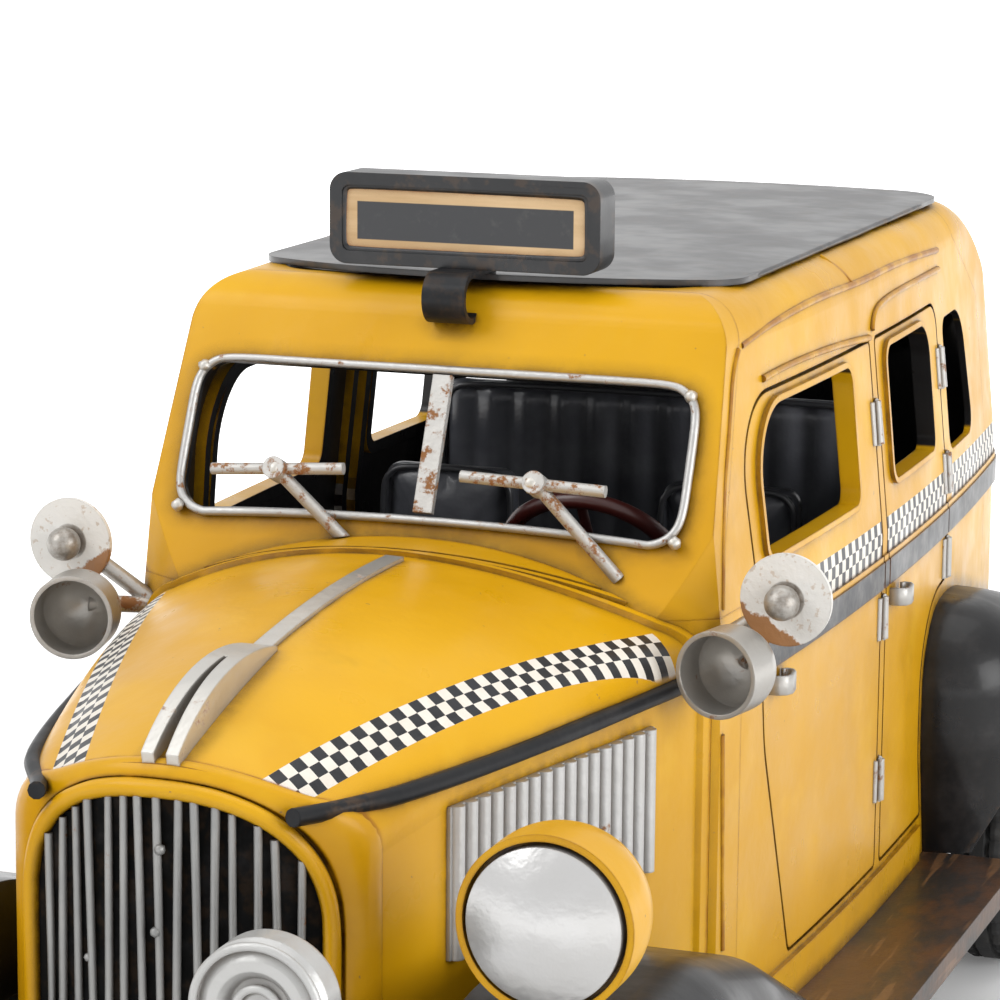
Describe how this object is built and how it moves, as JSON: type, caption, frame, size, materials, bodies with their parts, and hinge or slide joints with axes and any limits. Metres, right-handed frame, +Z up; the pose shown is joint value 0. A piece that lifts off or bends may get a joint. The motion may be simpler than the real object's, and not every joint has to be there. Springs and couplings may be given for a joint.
{
  "type": "model taxi cab",
  "caption": "Folded-tin display model of a vintage saloon taxi with opening doors, turning wheels, chequered belt and a blank roof sign.",
  "frame": {"origin": "on the floor, under the middle of the overall width and length", "axes": "+Z up, the nose points along -Y, +X is the car's own left side"},
  "size_m": [0.137, 0.336, 0.1574],
  "materials": {
    "body_yellow": "gloss",
    "door_yellow": "gloss",
    "lamp_yellow": "gloss",
    "roof_black": "gloss",
    "fender_black": "gloss",
    "board_black": "satin",
    "strip_black": "gloss",
    "frame_black": "satin",
    "inside_black": "satin",
    "grille_black": "satin",
    "sign_black": "gloss",
    "sign_cream": "satin",
    "silver_wire": "satin",
    "silver_rusty": "satin",
    "silver_paint": "satin",
    "vent_silver": "satin",
    "grille_silver": "satin",
    "lens_silver": "gloss",
    "horn_silver": "gloss",
    "cup_grey": "satin",
    "disc_rusty": "satin",
    "hinge_silver": "satin",
    "wheel_silver": "satin",
    "wire_steel": "satin",
    "tail_red": "gloss",
    "seat_black": "gloss",
    "wheel_maroon": "gloss",
    "tyre": "matte"
  },
  "bodies": {
    "body": {"axles": "wire_steel", "board_arms": "frame_black", "bumper_arms": "frame_black", "cowl": "body_yellow", "cross_members": "frame_black", "divider": "silver_rusty", "floor_pan": "inside_black", "front_bumper": "silver_paint", "front_fenders": "fender_black", "front_seats": "seat_black", "grille_backing": "grille_black", "grille_bars": "grille_silver", "grille_surround": "body_yellow", "headlamp_buckets": "lamp_yellow", "headlamp_lenses": "lens_silver", "hinge_leaves": "hinge_silver", "hood": "body_yellow", "hood_belt_strips": "strip_black", "hood_trim": "silver_paint", "horn_lamp": "horn_silver", "rails": "frame_black", "rear_bench": "seat_black", "rear_bumper": "silver_paint", "rear_fenders": "fender_black", "rear_panel": "body_yellow", "roof_panel": "roof_black", "running_boards": "board_black", "side_lamps": "cup_grey", "side_left": "body_yellow", "side_mirrors": "disc_rusty", "side_right": "body_yellow", "sign_box": "sign_black", "sign_bracket": "strip_black", "sign_face": "sign_cream", "steering_column": "frame_black", "steering_wheel": "wheel_maroon", "tail_lamps": "tail_red", "vent_panels": "vent_silver", "windshield_frame": "silver_wire", "windshield_surround": "body_yellow", "wipers": "silver_rusty"},
    "door_front_left": {"door_front_left": "door_yellow", "door_hardware_front_left": "hinge_silver"},
    "door_front_right": {"door_front_right": "door_yellow", "door_hardware_front_right": "hinge_silver"},
    "door_rear_left": {"door_rear_left": "door_yellow", "door_hardware_rear_left": "hinge_silver"},
    "door_rear_right": {"door_rear_right": "door_yellow", "door_hardware_rear_right": "hinge_silver"},
    "wheel_front_left": {"tyre_front_left": "tyre", "wheel_front_left": "wheel_silver"},
    "wheel_front_right": {"tyre_front_right": "tyre", "wheel_front_right": "wheel_silver"},
    "wheel_rear_left": {"tyre_rear_left": "tyre", "wheel_rear_left": "wheel_silver"},
    "wheel_rear_right": {"tyre_rear_right": "tyre", "wheel_rear_right": "wheel_silver"}
  },
  "joints": [
    {"name": "door_front_left_hinge", "type": "hinge", "parent": "body", "child": "door_front_left", "pos_m": [0.05051, 0.0353, 0.08], "axis": [0, 0, 1], "range_deg": [0, 70]},
    {"name": "door_front_right_hinge", "type": "hinge", "parent": "body", "child": "door_front_right", "pos_m": [-0.05051, 0.0353, 0.08], "axis": [0, 0, -1], "range_deg": [0, 70]},
    {"name": "door_rear_left_hinge", "type": "hinge", "parent": "body", "child": "door_rear_left", "pos_m": [0.04951, 0.0866, 0.08], "axis": [0, 0, 1], "range_deg": [0, 60]},
    {"name": "door_rear_right_hinge", "type": "hinge", "parent": "body", "child": "door_rear_right", "pos_m": [-0.04951, 0.0866, 0.08], "axis": [0, 0, -1], "range_deg": [0, 60]},
    {"name": "wheel_front_left_spin", "type": "hinge", "parent": "body", "child": "wheel_front_left", "pos_m": [0.057, -0.121, 0.025], "axis": [1, 0, 0], "continuous": true},
    {"name": "wheel_front_right_spin", "type": "hinge", "parent": "body", "child": "wheel_front_right", "pos_m": [-0.057, -0.121, 0.025], "axis": [1, 0, 0], "continuous": true},
    {"name": "wheel_rear_left_spin", "type": "hinge", "parent": "body", "child": "wheel_rear_left", "pos_m": [0.057, 0.107, 0.025], "axis": [1, 0, 0], "continuous": true},
    {"name": "wheel_rear_right_spin", "type": "hinge", "parent": "body", "child": "wheel_rear_right", "pos_m": [-0.057, 0.107, 0.025], "axis": [1, 0, 0], "continuous": true}
  ]
}
